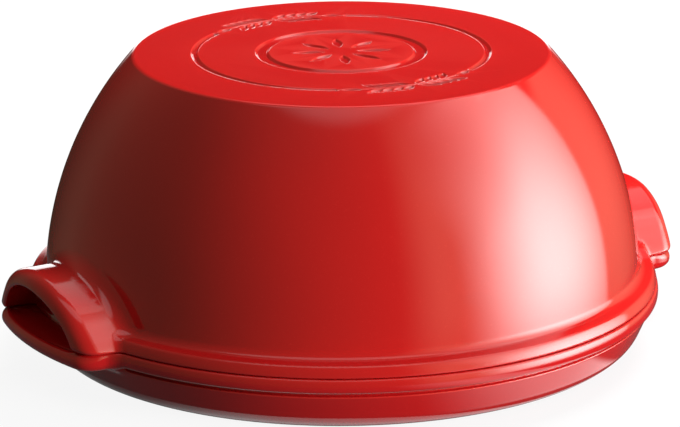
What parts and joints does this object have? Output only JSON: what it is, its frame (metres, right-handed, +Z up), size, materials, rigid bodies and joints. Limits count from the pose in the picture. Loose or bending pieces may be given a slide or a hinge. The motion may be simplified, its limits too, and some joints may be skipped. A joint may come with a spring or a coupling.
{
  "type": "bread cloche",
  "caption": "Round stoneware bread cloche: a shallow base dish with flat lug handles and a flat-topped dome with arched hood handles that lifts off.",
  "frame": {"origin": "middle of the footprint, on the plane that the base dish stands on", "axes": "+Z up towards the dome's flat top, X through the two handles"},
  "size_m": [0.3258, 0.296, 0.137],
  "materials": {
    "glaze": "gloss"
  },
  "bodies": {
    "base": {"base_dish": "glaze"},
    "lid": {"cloche_dome": "glaze"}
  },
  "joints": [
    {"name": "lid_lift", "type": "slide", "parent": "base", "child": "lid", "axis": [0, 0, 1], "range_m": [0, 0.2]}
  ]
}
